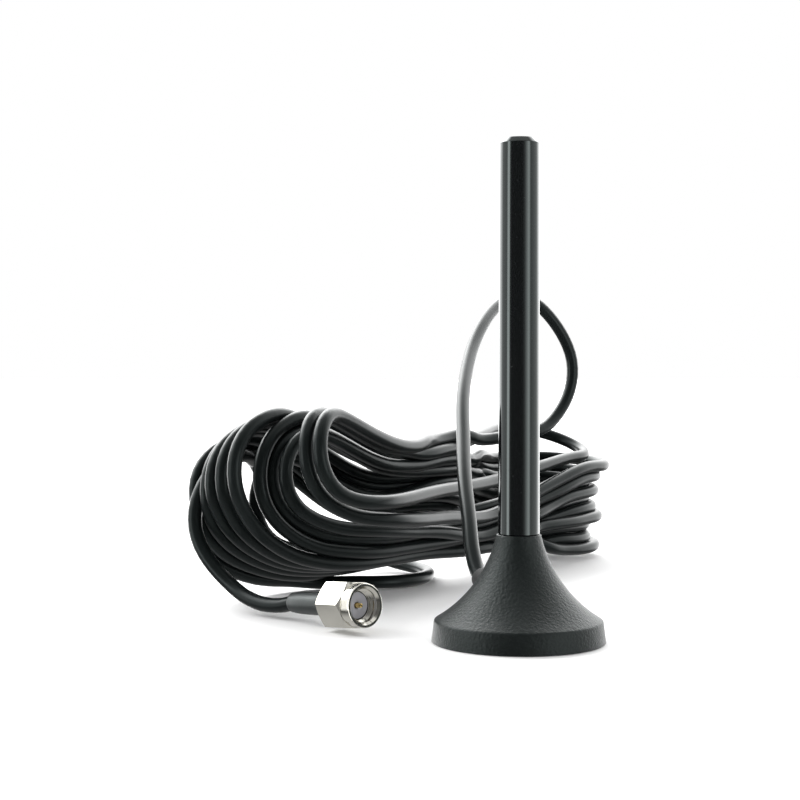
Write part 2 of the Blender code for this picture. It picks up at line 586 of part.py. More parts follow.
def main():
    clear_scene()
    matte_plastic = finish("matte_plastic", (0.018, 0.020, 0.020), 0.55)
    gloss_plastic = finish("gloss_plastic", (0.008, 0.009, 0.010), 0.12)
    pad_rubber = finish("pad_rubber", (0.02, 0.02, 0.02), 0.8)
    gland_rubber = finish("gland_rubber", (0.015, 0.015, 0.016), 0.5)
    jacket = finish("jacket", (0.018, 0.020, 0.020), 0.38)
    shrink = finish("shrink", (0.02, 0.021, 0.021), 0.45)
    steel = finish("plated_steel", (0.55, 0.55, 0.56), 0.3, 1.0)
    magnet = finish("magnet", (0.45, 0.45, 0.47), 0.25, 1.0)
    brass = finish("brass", (0.72, 0.55, 0.25), 0.3, 1.0)
    copper = finish("copper", (0.80, 0.42, 0.28), 0.3, 1.0)
    nickel = finish("nickel", (0.78, 0.78, 0.75), 0.18, 1.0)
    gold = finish("gold", (0.90, 0.68, 0.28), 0.2, 1.0)
    ptfe = finish("ptfe", (0.62, 0.62, 0.64), 0.5)
    silicone = finish("silicone", (0.012, 0.012, 0.012), 0.6)
    make_base(matte_plastic, pad_rubber, steel, magnet, brass)
    make_mast(gloss_plastic, brass, ptfe)
    make_cable_entry(gland_rubber, jacket, copper, brass)
    ferrule_end = make_plug(nickel, gold, ptfe, silicone, shrink)
    make_cable(jacket, ferrule_end)


main()
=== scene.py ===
"""The looks of a magnet-mount cellular antenna: cone, mast, coax in a loose hank, and coaxial plug."""

import json
import math

import bpy
import numpy as np
from mathutils import Matrix, Vector


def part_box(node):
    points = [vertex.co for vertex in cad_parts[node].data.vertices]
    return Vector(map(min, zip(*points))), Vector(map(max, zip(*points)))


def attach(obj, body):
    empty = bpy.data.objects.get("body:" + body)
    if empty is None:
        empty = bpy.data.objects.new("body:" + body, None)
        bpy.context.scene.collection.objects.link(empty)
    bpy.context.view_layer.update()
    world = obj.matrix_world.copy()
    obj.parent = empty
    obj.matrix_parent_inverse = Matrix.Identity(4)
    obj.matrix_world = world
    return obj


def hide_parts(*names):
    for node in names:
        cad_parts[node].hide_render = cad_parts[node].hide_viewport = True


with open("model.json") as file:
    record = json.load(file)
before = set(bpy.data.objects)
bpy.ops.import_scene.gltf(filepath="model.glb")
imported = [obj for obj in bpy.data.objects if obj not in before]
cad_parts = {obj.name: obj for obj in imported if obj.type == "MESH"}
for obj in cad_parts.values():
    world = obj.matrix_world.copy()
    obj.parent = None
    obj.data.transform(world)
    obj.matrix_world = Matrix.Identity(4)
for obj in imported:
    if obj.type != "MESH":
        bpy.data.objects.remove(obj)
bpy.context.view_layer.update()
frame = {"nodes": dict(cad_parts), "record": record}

MM = 0.001
SIDES = 96                 # round the large turned pieces
SMALL_SIDES = 64           # round the pieces of the plug

# Sizes read from the frame
FOOT_LOW, FOOT_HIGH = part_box("base_shell")
MAST_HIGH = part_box("mast_tube")[1]
PAD_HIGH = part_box("base_pad")[1]
BASE_R = FOOT_HIGH.x
NECK_Z = FOOT_HIGH.z

# The cone's profile
NECK_R = 3.8 * MM
FLARE_R = 22.8 * MM
BAND_HEIGHT = 3.7 * MM
BAND_DRAFT = 0.45 * MM

# The plug's axis: from the mouth of the nut, towards what it screws onto
PLUG_MOUTH = Vector((-26.4, 5.0, 5.35)) * MM
PLUG_TURN = math.radians(-50.0)
PLUG_TILT = math.radians(5.0)
PLUG_AXIS = Vector((math.cos(PLUG_TURN), math.sin(PLUG_TURN), math.tan(PLUG_TILT))).normalized()
NUT_FLATS = 8.0 * MM
NUT_ROLL = math.radians(24.0)

# Where the lead leaves the cone
EXIT_TURN = math.radians(118.0)
EXIT_TILT = math.radians(20.0)
GLAND_AXIS = Vector((math.cos(EXIT_TURN), math.sin(EXIT_TURN), math.tan(EXIT_TILT))).normalized()
EXIT_Z = 8.2 * MM

CABLE_R = 1.4 * MM
TIGHTEST = 12.0            # radius of the sharpest bend that the coax takes by itself, in millimetres
STEP = 1.8                 # between the points that the coax is settled at, in millimetres
GLAND_HOLD = 12.0          # how much of the lead the gland keeps straight, in millimetres


# ---------------------------------------------------------------- shader maths

class Value:
    """A shader socket. An expression on values adds its Math nodes."""

    def __init__(self, tree, socket):
        self.tree = tree
        self.socket = socket

    def maths(self, operation, first, second=None):
        node = self.tree.nodes.new("ShaderNodeMath")
        node.operation = operation
        for slot, item in zip(node.inputs, (first, second)):
            if isinstance(item, Value):
                self.tree.links.new(item.socket, slot)
            elif item is not None:
                slot.default_value = item
        return Value(self.tree, node.outputs[0])

    def __add__(self, other):
        return self.maths("ADD", self, other)

    def __radd__(self, other):
        return self.maths("ADD", other, self)

    def __sub__(self, other):
        return self.maths("SUBTRACT", self, other)

    def __rsub__(self, other):
        return self.maths("SUBTRACT", other, self)

    def __mul__(self, other):
        return self.maths("MULTIPLY", self, other)

    def __rmul__(self, other):
        return self.maths("MULTIPLY", other, self)

    def __truediv__(self, other):
        return self.maths("DIVIDE", self, other)

    def __pow__(self, other):
        return self.maths("POWER", self, other)

    def above(self, level):
        return self.maths("GREATER_THAN", self, level)


class Nodes:
    """A node tree under construction."""

    def __init__(self, tree):
        self.tree = tree

    def feed(self, slot, value):
        if isinstance(value, Value):
            self.tree.links.new(value.socket, slot)
        else:
            slot.default_value = value

    def node(self, kind, settings=None, output=0, **inputs):
        """Any node by its type: settings first, then values or links for its sockets."""
        node = self.tree.nodes.new("ShaderNode" + kind)
        for name, value in (settings or {}).items():
            if name == "stops":
                ramp = node.color_ramp.elements
                while len(ramp) < len(value):
                    ramp.new(0.5)
                for element, (place, colour) in zip(ramp, value):
                    element.position = place
                    element.color = (*colour, 1.0)
            else:
                setattr(node, name, value)
        for name, value in inputs.items():
            key = int(name[1:]) if name[0] == "_" else name.replace("_", " ")
            self.feed(node.inputs[key], value)
        return Value(self.tree, node.outputs[output]) if node.outputs else None

    def place(self, scale=(1.0, 1.0, 1.0), turn=(0.0, 0.0, 0.0), shift=(0.0, 0.0, 0.0)):
        where = self.node("TexCoord", output="Object")
        return self.node("Mapping", Vector=where, Location=shift, Rotation=turn, Scale=scale)

    def noise(self, scale, detail=3.0, rough=0.55, place=None):
        where = place or self.place()
        return self.node("TexNoise", Vector=where, Scale=scale, Detail=detail, Roughness=rough)

    def bump(self, height, strength, distance, normal=None):
        inputs = {"Strength": strength, "Distance": distance, "Height": height}
        if normal:
            inputs["Normal"] = normal
        return self.node("Bump", **inputs)

    def shades(self, amount, *colours):
        stops = [(index / (len(colours) - 1), colour) for index, colour in enumerate(colours)]
        return self.node("ValToRGB", {"stops": stops}, Fac=amount)

    def levels(self, amount, stops, most):
        """A grey ramp of (place, level) stops, with levels up to the most."""
        greys = [(place, (level / most,) * 3) for place, level in stops]
        return self.node("ValToRGB", {"stops": greys}, Fac=amount) * most


BLACK_TINT = (0.86, 0.98, 0.96)     # the cold cast of a black plastic's sheen


class Finish(Nodes):
    """A material under construction."""

    def __init__(self, name, colour, roughness, metallic=0.0, specular=0.5, tint=(1.0, 1.0, 1.0)):
        self.material = bpy.data.materials.new(name)
        self.material.use_nodes = True
        super().__init__(self.material.node_tree)
        self.shader = self.tree.nodes["Principled BSDF"]
        self.set(**{"Base Color": (*colour, 1.0), "Roughness": roughness, "Metallic": metallic})
        self.set(**{"Specular IOR Level": specular, "Specular Tint": (*tint, 1.0)})
        self.material.diffuse_color = (*colour, 1.0)

    def set(self, **inputs):
        for name, value in inputs.items():
            self.feed(self.shader.inputs[name], value)


def cone_plastic():
    """Matte black plastic with the fine blasted grain of its mould."""
    f = Finish("cone_plastic", (0.006, 0.0075, 0.0075), 0.45, specular=0.25, tint=BLACK_TINT)
    grain = f.noise(2300.0, 3.0, 0.7)
    cloud = f.noise(90.0, 4.0)
    speck = f.node("TexVoronoi", Vector=f.place(), Scale=1900.0)
    f.set(**{
        "Base Color": f.shades(
            grain * 0.7 + cloud * 0.3, (0.003, 0.004, 0.004), (0.010, 0.0125, 0.0122)),
        "Roughness": 0.34 + cloud * 0.10 + grain * 0.12,
        "Normal": f.bump(grain + speck * 0.5, 0.9, 0.00010),
    })
    return f.material


def mast_plastic():
    """Gloss black tube with faint draw lines down it and a few dust specks."""
    f = Finish("mast_plastic", (0.003, 0.0033, 0.0036), 0.08, tint=BLACK_TINT)
    draw = f.noise(700.0, 2.0, place=f.place(scale=(1.0, 1.0, 0.02)))
    dust = f.noise(2300.0, 2.0, 0.4)
    specks = dust.above(0.74)
    f.set(**{
        "Base Color": f.shades(specks, (0.003, 0.0033, 0.0036), (0.014, 0.015, 0.015)),
        "Roughness": 0.06 + draw * 0.05 + specks * 0.2,
        "Normal": f.bump(draw, 0.08, 0.00002),
    })
    return f.material


def jacket_plastic():
    """Satin black coax jacket: soft extrusion ripple, a little chalk and wear."""
    f = Finish("jacket_plastic", (0.006, 0.0075, 0.0075), 0.32, specular=0.15, tint=BLACK_TINT)
    ripple = f.noise(420.0, 3.0)
    fine = f.noise(2400.0, 2.0, 0.6)
    chalk = f.noise(60.0, 5.0, 0.62)
    f.set(**{
        "Base Color": f.shades(chalk, (0.0035, 0.0045, 0.0045), (0.009, 0.0115, 0.0115)),
        "Roughness": 0.22 + chalk * 0.12 + fine * 0.05,
        "Normal": f.bump(ripple + fine * 0.25, 0.22, 0.00006),
    })
    return f.material


def shrink_plastic():
    """Heat-shrink sleeve: satin, with the small wrinkles it shrank into."""
    f = Finish("shrink_plastic", (0.016, 0.018, 0.018), 0.4, tint=BLACK_TINT)
    wrinkle = f.noise(500.0, 4.0, 0.6)
    fine = f.noise(3000.0, 2.0)
    f.set(**{
        "Base Color": f.shades(wrinkle, (0.012, 0.0135, 0.0135), (0.024, 0.026, 0.026)),
        "Roughness": 0.34 + wrinkle * 0.16,
        "Normal": f.bump(wrinkle + fine * 0.2, 0.3, 0.00008),
    })
    return f.material


def rubber(name, colour, scale=1400.0):
    """Dull moulded rubber with a coarse grain."""
    f = Finish(name, colour, 0.7)
    grain = f.noise(scale, 4.0, 0.7)
    f.set(**{
        "Base Color": f.shades(grain, tuple(c * 0.7 for c in colour), tuple(c * 1.4 for c in colour)),
        "Roughness": 0.6 + grain * 0.25,
        "Normal": f.bump(grain, 0.4, 0.00008),
    })
    return f.material


def metal(name, colour, roughness, grain_scale=2200.0, stain=0.1):
    """Plated or bare metal: fine machining haze and a little tarnish."""
    f = Finish(name, colour, roughness, 1.0)
    haze = f.noise(grain_scale, 3.0, 0.6)
    tarnish = f.noise(260.0, 4.0, 0.6)
    dull = tuple(c * (1.0 - stain) for c in colour)
    f.set(**{
        "Base Color": f.shades(tarnish, dull, colour),
        "Roughness": roughness * 0.8 + haze * roughness * 0.3 + tarnish * roughness * 0.2,
        "Normal": f.bump(haze, 0.10, 0.00002),
    })
    return f.material


def insulator_plastic(name, colour):
    """Pale moulded insulator with a faint mottle."""
    f = Finish(name, colour, 0.45)
    mottle = f.noise(700.0, 4.0, 0.6)
    f.set(**{
        "Base Color": f.shades(mottle, tuple(c * 0.9 for c in colour), tuple(c * 1.06 for c in colour)),
        "Roughness": 0.39 + mottle * 0.14,
        "Normal": f.bump(mottle, 0.15, 0.00004),
    })
    return f.material


# ---------------------------------------------------------------- modelling by hand

def start(name):
    """Take the primitive that was just added and name it."""
    thing = bpy.context.object
    thing.name = name
    thing.data.name = name
    return thing


def let_go():
    for thing in bpy.context.selected_objects:
        thing.select_set(False)


def turned(name, rings, sides, ends="fill", guide=None):
    """A circle pulled through rings of (radius, height), with its ends filled or joined."""
    let_go()
    radius, height = rings[0]
    bpy.ops.mesh.primitive_circle_add(vertices=sides, radius=radius, location=(0.0, 0.0, height))
    thing = start(name)
    bpy.ops.object.transform_apply(location=True, rotation=True, scale=True)
    bpy.ops.object.mode_set(mode="EDIT")
    bpy.ops.mesh.select_all(action="SELECT")
    if ends == "fill":
        bpy.ops.mesh.edge_face_add()
        bpy.ops.mesh.inset(thickness=radius * 0.4)
        bpy.ops.mesh.select_all(action="DESELECT")
        bpy.ops.object.mode_set(mode="OBJECT")
        for edge in thing.data.edges:
            edge.select = all(
                thing.data.vertices[index].co.xy.length > radius * 0.99 for index in edge.vertices)
        bpy.ops.object.mode_set(mode="EDIT")
        bpy.ops.mesh.select_mode(type="EDGE")
    last_radius, last_height = radius, height
    for radius, height in rings[1:]:
        bpy.ops.mesh.extrude_region_move(
            TRANSFORM_OT_translate={"value": (0.0, 0.0, height - last_height)})
        grow = radius / last_radius
        bpy.ops.transform.resize(value=(grow, grow, 1.0), center_override=(0.0, 0.0, height))
        last_radius, last_height = radius, height
    if ends == "fill":
        bpy.ops.mesh.edge_face_add()
        bpy.ops.mesh.inset(thickness=radius * 0.4)
    bpy.ops.mesh.select_all(action="SELECT")
    bpy.ops.mesh.remove_doubles(threshold=0.000001)
    bpy.ops.mesh.normals_make_consistent(inside=False)
    bpy.ops.object.mode_set(mode="OBJECT")
    if guide is not None:
        thing.data.transform(guide)
    return thing


def loop(rings):
    """The rings of a piece with a bore: the last ring is the first again, and the two are merged."""
    return rings + [rings[0]]


def soften(thing, width, angle=30.0):
    """Round every sharp edge a little."""
    bevel = thing.modifiers.new("soft_edges", "BEVEL")
    bevel.width = width
    bevel.segments = 2
    bevel.limit_method = "ANGLE"
    bevel.angle_limit = math.radians(angle)
    apply_all(thing)
    return thing


def pick(thing):
    """Select this piece alone and make it active."""
    let_go()
    bpy.context.view_layer.objects.active = thing
    thing.select_set(True)


def apply_all(thing):
    pick(thing)
    for modifier in list(thing.modifiers):
        bpy.ops.object.modifier_apply(modifier=modifier.name)


def smooth(thing, angle=32.0):
    """Shade the piece smooth, apart from edges sharper than the angle."""
    pick(thing)
    bpy.ops.object.shade_smooth_by_angle(angle=math.radians(angle))


def keep_inside(thing, cutter):
    """Keep what lies inside the cutter."""
    boolean = thing.modifiers.new("cut", "BOOLEAN")
    boolean.operation = "INTERSECT"
    boolean.object = cutter
    apply_all(thing)
    bpy.data.objects.remove(cutter)


def dress(thing, material, body, slot, *nodes):
    """Give a finished piece its finish and its body, and hide the CAD nodes it stands for. The slot is
    not used.
    """
    thing.data.materials.clear()
    thing.data.materials.append(material)
    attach(thing, body)
    if nodes:
        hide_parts(*nodes)
    return thing


def guide_along(place, axis, roll=0.0):
    """The matrix that stands an upright piece along an axis."""
    turn = axis.to_track_quat("Z", "Y").to_matrix().to_4x4()
    return Matrix.Translation(place) @ turn @ Matrix.Rotation(roll, 4, "Z")


def round_corner(outline, index, radius, steps=5):
    """An outline with one corner replaced by an arc."""
    here = Vector(outline[index])
    before = (Vector(outline[index - 1]) - here).normalized()
    after = (Vector(outline[(index + 1) % len(outline)]) - here).normalized()
    half = before.angle(after) / 2
    centre = here + (before + after).normalized() * radius / math.sin(half)
    first = here + before * radius / math.tan(half) - centre
    last = here + after * radius / math.tan(half) - centre
    arc = []
    for step in range(steps + 1):
        share = step / steps
        swing = (first.normalized() * (1 - share) + last.normalized() * share).normalized()
        arc.append(tuple(centre + swing * radius))
    return outline[:index] + arc + outline[index + 1:]


# ---------------------------------------------------------------- the antenna's cone and mast

def flare_centre():
    """The centre of the flare's arc, as (radius, height)."""
    neck = Vector((NECK_R, NECK_Z))
    band = Vector((BASE_R - BAND_DRAFT, BAND_HEIGHT))
    chord = band - neck
    outward = Vector((-chord.y, chord.x)).normalized()
    return (neck + band) / 2 + outward * math.sqrt(FLARE_R ** 2 - (chord.length / 2) ** 2)


def flare(high, low, steps):
    """Points down the hollow flare, from high to low."""
    centre = flare_centre()
    first = math.asin((centre.y - high) / FLARE_R)
    last = math.asin((centre.y - low) / FLARE_R)
    angles = [first + (last - first) * step / steps for step in range(steps + 1)]
    return [(centre.x - FLARE_R * math.cos(a), centre.y - FLARE_R * math.sin(a)) for a in angles]


def gland_mouth():
    """Where the gland's axis meets the flare."""
    centre = flare_centre()
    radius = centre.x - math.sqrt(FLARE_R ** 2 - (EXIT_Z - centre.y) ** 2)
    return Vector((radius * math.cos(EXIT_TURN), radius * math.sin(EXIT_TURN), EXIT_Z))


def make_cone(plastic):
    low = FOOT_LOW.z
    core = NECK_R - 1.0 * MM
    recess = PAD_HIGH.x + 0.3 * MM
    ceiling = 2.0 * MM
    side = [(core, NECK_Z)] + flare(NECK_Z, BAND_HEIGHT, 30)
    outline = side + [(BASE_R, low), (recess, low), (recess, ceiling), (core, ceiling)]
    foot = len(side)
    outline = round_corner(outline, foot, 0.06 * MM)
    outline = round_corner(outline, foot - 1, 0.55 * MM)
    outline = round_corner(outline, 1, 0.18 * MM)
    cone = turned("cone", loop(outline), SIDES, ends="join")
    smooth(cone, 50.0)
    return dress(cone, plastic, "root", "shell_plastic", "base_shell")


def make_mast(plastic):
    foot, top = NECK_Z + 0.04 * MM, MAST_HIGH.z
    foot_r = MAST_HIGH.x
    top_r = foot_r - 0.14 * MM
    chamfer = 0.85 * MM
    rings = [(foot_r - 0.16 * MM, foot), (foot_r, foot + 0.14 * MM)]
    for share in (0.05, 0.3, 0.6, 0.95):
        rings.append((foot_r + (top_r - foot_r) * share, foot + (top - chamfer - foot) * share))
    rings += [(top_r, top - chamfer), (top_r - chamfer, top)]
    rings = round_corner(rings, len(rings) - 2, 0.12 * MM, 3)
    mast = turned("mast", rings, SIDES)
    smooth(mast, 40.0)
    return dress(mast, plastic, "root", "mast_plastic", "mast_tube")


def make_pad(material):
    thick = PAD_HIGH.z
    edge = PAD_HIGH.x
    rings = [(edge - 0.2 * MM, 0.0), (edge, 0.15 * MM), (edge, thick)]
    pad = turned("foot_pad", rings, SIDES)
    smooth(pad)
    return dress(pad, material, "root", "pad_rubber", "base_pad")


# ---------------------------------------------------------------- the plug

def back(distance):
    """Height along the plug's guide of a place this far behind the mouth, in millimetres."""
    return -distance * MM


def plug_guide(roll=0.0):
    return guide_along(PLUG_MOUTH, PLUG_AXIS, roll)


def make_nut(nickel):
    """Round collar, six flats with turned chamfers, a lead-in and a threaded bore."""
    half = NUT_FLATS / 2
    corner = half / math.cos(math.pi / 6)
    collar = 3.9 * MM
    outline = [
        (2.95 * MM, back(0.45)), (3.4 * MM, back(0.0)), (collar, back(0.0)), (collar, back(2.2)),
        (corner, back(2.6)), (corner, back(8.4)), (half, back(8.8)), (2.6 * MM, back(8.8)),
        (2.6 * MM, back(5.4)), (2.95 * MM, back(5.4)),
    ]
    outline = round_corner(outline, 2, 0.16 * MM, 3)
    nut = turned("coupling_nut_shell", loop(outline), SMALL_SIDES * 2, ends="join")
    let_go()
    bpy.ops.mesh.primitive_cylinder_add(
        vertices=6, radius=corner, depth=20.0 * MM, location=(0.0, 0.0, back(4.4)))
    prism = start("six_flats")
    bpy.ops.object.transform_apply(location=True, rotation=True, scale=True)
    keep_inside(nut, prism)
    nut.data.transform(plug_guide(NUT_ROLL))
    soften(nut, 0.08 * MM, 25.0)
    smooth(nut, 12.0)
    return dress(nut, nickel, "coupling_nut", "nickel", "coupling_nut")


def make_thread(nickel):
    """The nut's thread: one small V ridge wound down the bore by a Screw modifier."""
    let_go()
    bpy.ops.mesh.primitive_circle_add(vertices=4, radius=0.34 * MM, location=(0.0, 0.0, 0.0))
    thread = start("nut_thread")
    pitch = 0.705 * MM
    for corner, place in zip(thread.data.vertices, (
            (3.05, 0.36), (3.05, -0.36), (2.56, -0.05), (2.56, 0.05))):
        corner.co = (place[0] * MM, 0.0, place[1] * MM + back(1.1))
    screw = thread.modifiers.new("wound", "SCREW")
    screw.screw_offset = -pitch
    screw.iterations = 5
    screw.steps = 48
    screw.render_steps = 48
    screw.axis = "Z"
    screw.use_merge_vertices = False
    apply_all(thread)
    bpy.ops.object.mode_set(mode="EDIT")
    bpy.ops.mesh.select_all(action="SELECT")
    bpy.ops.mesh.remove_doubles(threshold=0.000001)
    bpy.ops.mesh.select_all(action="DESELECT")
    bpy.ops.mesh.select_non_manifold()
    bpy.ops.mesh.edge_face_add()
    bpy.ops.mesh.select_all(action="SELECT")
    bpy.ops.mesh.normals_make_consistent(inside=False)
    bpy.ops.object.mode_set(mode="OBJECT")
    thread.data.transform(plug_guide(NUT_ROLL))
    smooth(thread, 30.0)
    return dress(thread, nickel, "coupling_nut", "nickel")


def make_plug_inside(nickel, gold, ptfe):
    """The plug's body, its insulating bead and its contact pin."""
    guide = plug_guide()
    body = [
        (2.1 * MM, back(2.5)), (2.3 * MM, back(2.5)), (2.3 * MM, back(5.4)), (2.4 * MM, back(5.4)),
        (2.4 * MM, back(8.9)), (1.25 * MM, back(8.9)), (1.25 * MM, back(11.5)), (0.9 * MM, back(11.5)),
        (0.9 * MM, back(8.4)), (1.55 * MM, back(8.4)), (1.55 * MM, back(5.4)), (2.1 * MM, back(5.4)),
    ]
    shell = turned("plug_shell", loop(body), SMALL_SIDES, ends="join", guide=guide)
    soften(shell, 0.05 * MM)
    smooth(shell, 14.0)
    dress(shell, nickel, "root", "nickel", "plug_body")
    bead = [
        (0.61 * MM, back(2.35)), (2.34 * MM, back(2.35)), (2.34 * MM, back(2.49)),
        (1.95 * MM, back(2.49)), (1.95 * MM, back(5.25)), (1.4 * MM, back(5.25)),
        (1.4 * MM, back(8.25)), (0.61 * MM, back(8.25)),
    ]
    disc = turned("plug_bead", loop(bead), SMALL_SIDES, ends="join", guide=guide)
    soften(disc, 0.03 * MM)
    smooth(disc, 14.0)
    dress(disc, ptfe, "root", "insulator", "plug_insulator")
    pin_rings = [
        (0.18 * MM, back(1.0)), (0.34 * MM, back(1.12)), (0.42 * MM, back(1.45)),
        (0.46 * MM, back(1.9)), (0.46 * MM, back(9.5)),
    ]
    pin = turned("contact_pin", pin_rings, 32, guide=guide)
    smooth(pin)
    dress(pin, gold, "root", "gold", "centre_pin")
    return shell, disc, pin


def make_shrink(material):
    """The sleeve: a slight bell over the crimp, a waist and a step down onto the coax."""
    profile = [
        (9.1, 2.02), (9.25, 2.1), (9.8, 2.13), (11.4, 2.12), (13.0, 2.14), (14.6, 2.12), (16.6, 2.10),
        (18.4, 2.06), (19.6, 1.96), (20.6, 1.85), (20.95, 1.83), (21.05, 1.74), (21.05, 1.56),
        (19.5, 1.56), (18.0, 1.85), (9.1, 1.85),
    ]
    rings = [(radius * MM, back(place)) for place, radius in profile]
    sleeve = turned("shrink_sleeve", loop(rings), SMALL_SIDES, ends="join", guide=plug_guide())
    smooth(sleeve, 40.0)
    return dress(sleeve, material, "root", "shrink", "heat_shrink")


def make_gland(material):
    """The tapered boot round the lead, from inside the cone to the flare and a little past it."""
    profile = [
        (1.55, 4.0), (1.78, 4.0), (1.86, 3.8), (1.95, 2.6), (2.08, 1.2), (2.2, 0.0), (2.2, -2.3),
        (1.55, -2.3),
    ]
    rings = [(radius * MM, height * MM) for radius, height in profile]
    guide = guide_along(gland_mouth(), GLAND_AXIS)
    gland = turned("lead_gland", loop(rings), SMALL_SIDES, ends="join", guide=guide)
    smooth(gland, 40.0)
    return dress(gland, material, "root", "gland_rubber", "cable_gland")


# ---------------------------------------------------------------- the coax

# The lead's arch from the gland to the hank and its end before the plug, in millimetres, as in the CAD
LEAD_ROUTE = [
    (-7.25, 15.9, 13.5), (-7.5, 20.9, 17.7), (-8.0, 31.9, 25.3), (-7.8, 44.4, 32.9),
    (-7.3, 57.9, 40.9), (-4.8, 75.4, 50.2), (-1.5, 86.9, 56.4), (2.1, 95.9, 60.4),
    (7.9, 104.8, 62.9), (13.5, 110.2, 60.0), (18.4, 112.4, 53.9), (21.2, 113.4, 46.2),
    (19.3, 111.9, 38.3), (15.1, 107.4, 33.0), (12.2, 103.9, 31.5),
]
TAIL_ROUTE = [(-42.4, 23.3, 2.6), (-46.4, 26.8, 2.4), (-50.0, 30.4, 3.4), (-50.8, 31.4, 3.8)]
ALONG = np.array([0.561, 0.828, 0.0])      # the hank's length, away from the antenna
ACROSS = np.array([0.828, -0.561, 0.0])
OVER = np.array([0.24, 0.97, 0.0])         # how the front pair's arcs go over
UNDER = np.array([0.75, 0.66, 0.0])        # how the near arcs swing under
UP = np.array([0.0, 0.0, 1.0])
WAIST = np.array([-7.0, 84.0, 0.0])
FAR_END = np.array([14.6, 120.6, 0.0])

# One row for each turn of the hank, in the order in which the lead is wound: the leftmost point of its
# near arc (x, y, z), the arc's top and bottom level, how far these two lie from that point, the level at
# the waist of its top and of its bottom strand, and its far fold's level, rise, half width and reach
TURNS = [
    (-34.9, 17.0, 31.0, 38.0, 21.5, 8.5, 14.0, 29.5, 21.5, 24.5, 6.5, 9.5, 1.5),
    (-37.6, 19.0, 30.5, 38.0, 17.5, 9.5, 22.0, 29.0, 14.0, 22.0, 1.5, 13.0, 4.5),
    (-42.1, 27.0, 26.5, 34.0, 14.5, 10.5, 24.0, 26.0, 10.0, 16.0, 1.5, 11.5, 2.0),
    (-44.6, 30.5, 26.0, 35.0, 12.0, 13.0, 26.0, 24.0, 11.5, 19.5, 1.5, 12.0, 2.0),
    (-46.9, 28.0, 26.5, 36.5, 10.0, 14.0, 26.0, 28.0, 9.0, 10.5, 1.0, 12.0, 2.5),
    (-51.4, 25.0, 28.0, 37.6, 8.0, 15.0, 28.0, 27.0, 7.6, 13.5, 1.5, 10.0, 1.0),
    (-49.0, 43.0, 19.0, 28.5, 9.5, 11.0, 14.0, 21.0, 15.0, 18.0, 1.0, 10.5, 0.0),
    (-54.3, 31.0, 26.5, 36.0, 7.0, 16.0, 28.0, 22.5, 8.2, 12.0, 1.0, 11.0, 2.0),
    (-56.6, 34.0, 25.0, 35.0, 6.0, 17.0, 30.0, 19.5, 9.5, 8.0, 1.0, 10.0, 1.0),
    (-58.3, 37.0, 22.5, 34.0, 4.8, 18.0, 31.0, 17.5, 7.2, 5.0, 1.5, 10.5, 0.0),
    (-59.9, 40.0, 19.5, 32.0, 3.6, 18.0, 31.0, 15.5, 10.0, 2.8, 0.5, 11.8, 2.0),
    (-60.8, 43.0, 16.0, 29.5, 2.0, 18.0, 28.0, 13.5, 0.0, 0.0, 0.0, 0.0, 0.0),
    (-60.4, 38.5, 16.5, 30.0, 1.5, 16.0, 16.0, 0.0, 0.0, 0.0, 0.0, 0.0, 0.0),
]
# The last turn but one is a short one: it folds on the floor and comes back behind the others
SHORT_FOLD = [
    (-27.0, 62.0, 1.5), (-19.5, 65.0, 1.4), (-14.6, 73.0, 1.4), (-15.4, 83.5, 1.5), (-23.0, 91.0, 2.5),
    (-34.0, 92.0, 7.5), (-44.5, 83.5, 16.0), (-50.5, 70.0, 24.5),
]
TAIL_FALL = np.array([-57.2, 35.2, 9.6])


def turn_of(degrees):
    """The cosine and the sine."""
    return math.cos(math.radians(degrees)), math.sin(math.radians(degrees))


def hank_knots(first):
    """The wound lead's knots. Each turn comes back along the top, round its near arc, out below and
    round its far fold. The last turn ends in its near arc, on its way to the plug."""
    knots = []
    before = first
    for number, (x, y, z, *row) in enumerate(TURNS):
        top, low, top_reach, low_reach, over_waist, under_waist, level, rise, wide, reach = row
        rank = number / (len(TURNS) - 1)
        left = np.array([x, y, z])
        top_way = (OVER if number < 2 else ALONG) * top_reach
        over = left + top_way
        over[2] = top
        waist_top = WAIST - ACROSS * (1.0 + 6.0 * rank) + UP * over_waist
        if 0 < number < len(TURNS) - 1:
            knots.append(before * 0.5 + waist_top * 0.5)
        if number < len(TURNS) - 1:
            knots += [waist_top, waist_top * 0.5 + over * 0.5 - UP * (3.2 + 3.8 * rank)]
        for degrees in (0, 30, 60, 90):
            c, s = turn_of(degrees)
            knots.append(left + top_way * (1 - s) + UP * (top - z) * c)
        if number == len(TURNS) - 1:
            return knots + [TAIL_FALL]
        for degrees in (30, 60, 90):
            c, s = turn_of(degrees)
            knots.append(left + UNDER * low_reach * (1 - c) - UP * (z - low) * s)
        under = knots[-1]
        if number == len(TURNS) - 2:
            knots += [np.array(point) for point in SHORT_FOLD]
            continue
        far = FAR_END + ALONG * reach
        enter = far - ALONG * 6.0 + ACROSS * wide + UP * level
        waist_low = WAIST + ACROSS * (9.0 - 9.0 * rank) + UP * under_waist
        knots += [under * 0.5 + waist_low * 0.5, waist_low, waist_low * 0.5 + enter * 0.5, enter]
        for degrees in (60, 0, -60):
            c, s = turn_of(degrees)
            knots.append(far + ALONG * wide * c + ACROSS * wide * s + UP * (level + rise * (1 - s) / 2))
        before = far - ALONG * 6.0 - ACROSS * wide + UP * (level + rise)
        knots.append(before)
    return knots


